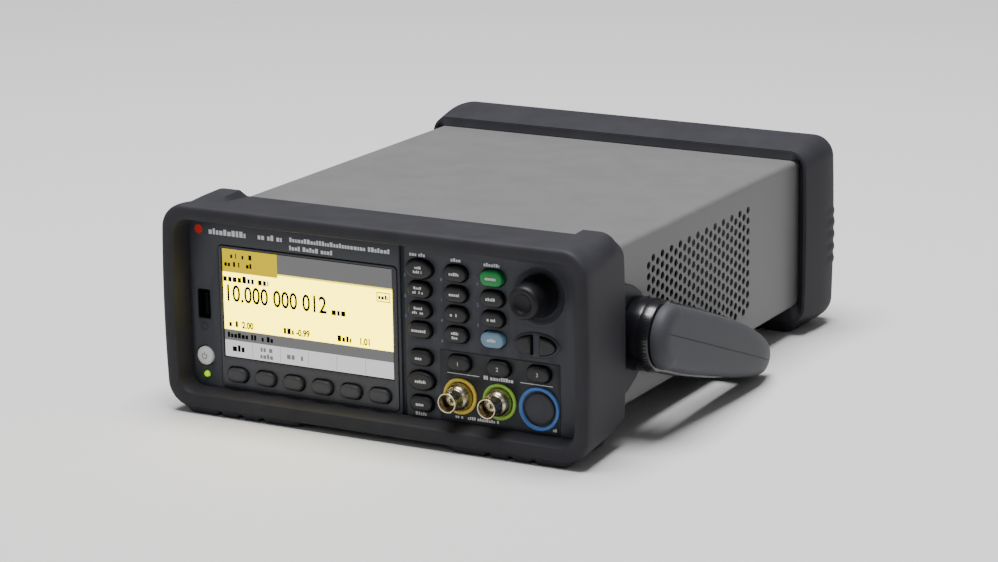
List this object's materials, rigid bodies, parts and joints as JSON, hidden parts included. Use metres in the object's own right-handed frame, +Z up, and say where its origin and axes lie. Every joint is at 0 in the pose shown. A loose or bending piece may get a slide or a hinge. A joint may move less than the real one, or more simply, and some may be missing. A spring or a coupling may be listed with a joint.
{
  "type": "frequency counter",
  "caption": "Half-rack bench frequency counter with a colour screen, rubber keypad, tuning knob, coaxial inputs, corner bumpers and a swinging bail handle.",
  "frame": {"origin": "centre of the footprint at the underside of the rubber feet", "axes": "+X to the right as the front is faced, +Y from front to back, +Z up"},
  "size_m": [0.261, 0.3032, 0.1038],
  "materials": {
    "bumper_rubber": "matt moulded charcoal rubber",
    "sleeve_paint": "fine textured grey powder coat",
    "panel_plastic": "fine textured charcoal",
    "screen_frame_plastic": "smooth satin dark grey",
    "green_key_rubber": "satin green",
    "blue_key_rubber": "satin light blue",
    "key_rubber": "satin dark grey",
    "power_button_plastic": "satin light grey",
    "led_lens": "clear green-tinted lens",
    "yellow_ring_plastic": "satin yellow",
    "green_ring_plastic": "satin yellow-green",
    "blue_ring_plastic": "satin blue",
    "connector_nickel": "bright nickel plate",
    "connector_steel": "tinned steel",
    "knob_rubber": "soft matt black",
    "handle_gloss_black": "polished black",
    "grip_soft_touch": "soft-touch dark grey",
    "mount_black": "matt black",
    "screen_glass": "clear satin glass",
    "circuit_board": "green solder mask",
    "plain_steel": "zinc-plated sheet",
    "black_plastic": "satin black"
  },
  "bodies": {
    "root": {"ac_inlet": "black_plastic", "case_sleeve": "sleeve_paint", "channel_3_blank": "panel_plastic", "channel_3_ring": "blue_ring_plastic", "chassis_tray": "plain_steel", "fan_frame": "black_plastic", "front_bumper": "bumper_rubber", "front_panel": "panel_plastic", "handle_mount_left": "mount_black", "handle_mount_right": "mount_black", "input_1": "connector_nickel", "input_1_ring": "yellow_ring_plastic", "input_2": "connector_nickel", "input_2_ring": "green_ring_plastic", "keypad_board": "circuit_board", "knob_encoder": "connector_steel", "lan_socket": "connector_steel", "main_board": "circuit_board", "power_led": "led_lens", "power_supply": "plain_steel", "rear_bumper": "bumper_rubber", "rear_inputs": "connector_nickel", "rear_panel": "plain_steel", "screen_frame": "screen_frame_plastic", "screen_module": "connector_steel", "screen_window": "screen_glass", "usb_b_socket": "connector_steel", "usb_socket": "connector_steel"},
    "autoscale_key": {"autoscale_key": "key_rubber"},
    "back_key": {"back_key": "key_rubber"},
    "channel_1_key": {"channel_1_key": "key_rubber"},
    "channel_2_key": {"channel_2_key": "key_rubber"},
    "channel_3_key": {"channel_3_key": "key_rubber"},
    "digits_key": {"digits_key": "key_rubber"},
    "frequency_key": {"frequency_key": "key_rubber"},
    "gate_key": {"gate_key": "key_rubber"},
    "graph_key": {"graph_key": "key_rubber"},
    "help_key": {"help_key": "key_rubber"},
    "interval_key": {"interval_key": "key_rubber"},
    "left_arrow_key": {"left_arrow_key": "key_rubber"},
    "log_key": {"log_key": "key_rubber"},
    "math_key": {"math_key": "key_rubber"},
    "preset_key": {"preset_key": "green_key_rubber"},
    "right_arrow_key": {"right_arrow_key": "key_rubber"},
    "shift_key": {"shift_key": "blue_key_rubber"},
    "soft_key_1": {"soft_key_1": "key_rubber"},
    "soft_key_2": {"soft_key_2": "key_rubber"},
    "soft_key_3": {"soft_key_3": "key_rubber"},
    "soft_key_4": {"soft_key_4": "key_rubber"},
    "soft_key_5": {"soft_key_5": "key_rubber"},
    "soft_key_6": {"soft_key_6": "key_rubber"},
    "totalize_key": {"totalize_key": "key_rubber"},
    "trigger_key": {"trigger_key": "key_rubber"},
    "utility_key": {"utility_key": "key_rubber"},
    "power_button": {"power_button": "power_button_plastic"},
    "knob": {"tuning_knob": "knob_rubber"},
    "fan": {"fan_rotor": "black_plastic"},
    "handle": {"handle_frame": "handle_gloss_black", "handle_grip_left": "grip_soft_touch", "handle_grip_right": "grip_soft_touch"}
  },
  "joints": [
    {"name": "handle_swing", "type": "hinge", "parent": "root", "child": "handle", "pos_m": [0, -0.0826, 0.0502], "axis": [-1, 0, 0], "range_deg": [0, 200]},
    {"name": "knob_turn", "type": "hinge", "parent": "root", "child": "knob", "pos_m": [0.085, -0.1351, 0.078], "axis": [0, 1, 0], "continuous": true},
    {"name": "fan_spin", "type": "hinge", "parent": "root", "child": "fan", "pos_m": [-0.066, 0.1043, 0.0536], "axis": [0, 1, 0], "continuous": true},
    {"name": "autoscale_key_press", "type": "slide", "parent": "root", "child": "autoscale_key", "axis": [0, 1, 0], "range_m": [0, 0.0012], "stiffness_N_per_m": 1200},
    {"name": "back_key_press", "type": "slide", "parent": "root", "child": "back_key", "axis": [0, 1, 0], "range_m": [0, 0.0012], "stiffness_N_per_m": 1200},
    {"name": "channel_1_key_press", "type": "slide", "parent": "root", "child": "channel_1_key", "axis": [0, 1, 0], "range_m": [0, 0.0012], "stiffness_N_per_m": 1200},
    {"name": "channel_2_key_press", "type": "slide", "parent": "root", "child": "channel_2_key", "axis": [0, 1, 0], "range_m": [0, 0.0012], "stiffness_N_per_m": 1200},
    {"name": "channel_3_key_press", "type": "slide", "parent": "root", "child": "channel_3_key", "axis": [0, 1, 0], "range_m": [0, 0.0012], "stiffness_N_per_m": 1200},
    {"name": "digits_key_press", "type": "slide", "parent": "root", "child": "digits_key", "axis": [0, 1, 0], "range_m": [0, 0.0012], "stiffness_N_per_m": 1200},
    {"name": "frequency_key_press", "type": "slide", "parent": "root", "child": "frequency_key", "axis": [0, 1, 0], "range_m": [0, 0.0012], "stiffness_N_per_m": 1200},
    {"name": "gate_key_press", "type": "slide", "parent": "root", "child": "gate_key", "axis": [0, 1, 0], "range_m": [0, 0.0012], "stiffness_N_per_m": 1200},
    {"name": "graph_key_press", "type": "slide", "parent": "root", "child": "graph_key", "axis": [0, 1, 0], "range_m": [0, 0.0012], "stiffness_N_per_m": 1200},
    {"name": "help_key_press", "type": "slide", "parent": "root", "child": "help_key", "axis": [0, 1, 0], "range_m": [0, 0.0012], "stiffness_N_per_m": 1200},
    {"name": "interval_key_press", "type": "slide", "parent": "root", "child": "interval_key", "axis": [0, 1, 0], "range_m": [0, 0.0012], "stiffness_N_per_m": 1200},
    {"name": "left_arrow_key_press", "type": "slide", "parent": "root", "child": "left_arrow_key", "axis": [0, 1, 0], "range_m": [0, 0.0012], "stiffness_N_per_m": 1200},
    {"name": "log_key_press", "type": "slide", "parent": "root", "child": "log_key", "axis": [0, 1, 0], "range_m": [0, 0.0012], "stiffness_N_per_m": 1200},
    {"name": "math_key_press", "type": "slide", "parent": "root", "child": "math_key", "axis": [0, 1, 0], "range_m": [0, 0.0012], "stiffness_N_per_m": 1200},
    {"name": "preset_key_press", "type": "slide", "parent": "root", "child": "preset_key", "axis": [0, 1, 0], "range_m": [0, 0.0012], "stiffness_N_per_m": 1200},
    {"name": "right_arrow_key_press", "type": "slide", "parent": "root", "child": "right_arrow_key", "axis": [0, 1, 0], "range_m": [0, 0.0012], "stiffness_N_per_m": 1200},
    {"name": "shift_key_press", "type": "slide", "parent": "root", "child": "shift_key", "axis": [0, 1, 0], "range_m": [0, 0.0012], "stiffness_N_per_m": 1200},
    {"name": "soft_key_1_press", "type": "slide", "parent": "root", "child": "soft_key_1", "axis": [0, 1, 0], "range_m": [0, 0.0012], "stiffness_N_per_m": 1200},
    {"name": "soft_key_2_press", "type": "slide", "parent": "root", "child": "soft_key_2", "axis": [0, 1, 0], "range_m": [0, 0.0012], "stiffness_N_per_m": 1200},
    {"name": "soft_key_3_press", "type": "slide", "parent": "root", "child": "soft_key_3", "axis": [0, 1, 0], "range_m": [0, 0.0012], "stiffness_N_per_m": 1200},
    {"name": "soft_key_4_press", "type": "slide", "parent": "root", "child": "soft_key_4", "axis": [0, 1, 0], "range_m": [0, 0.0012], "stiffness_N_per_m": 1200},
    {"name": "soft_key_5_press", "type": "slide", "parent": "root", "child": "soft_key_5", "axis": [0, 1, 0], "range_m": [0, 0.0012], "stiffness_N_per_m": 1200},
    {"name": "soft_key_6_press", "type": "slide", "parent": "root", "child": "soft_key_6", "axis": [0, 1, 0], "range_m": [0, 0.0012], "stiffness_N_per_m": 1200},
    {"name": "totalize_key_press", "type": "slide", "parent": "root", "child": "totalize_key", "axis": [0, 1, 0], "range_m": [0, 0.0012], "stiffness_N_per_m": 1200},
    {"name": "trigger_key_press", "type": "slide", "parent": "root", "child": "trigger_key", "axis": [0, 1, 0], "range_m": [0, 0.0012], "stiffness_N_per_m": 1200},
    {"name": "utility_key_press", "type": "slide", "parent": "root", "child": "utility_key", "axis": [0, 1, 0], "range_m": [0, 0.0012], "stiffness_N_per_m": 1200},
    {"name": "power_button_press", "type": "slide", "parent": "root", "child": "power_button", "axis": [0, 1, 0], "range_m": [0, 0.001], "stiffness_N_per_m": 1200}
  ]
}
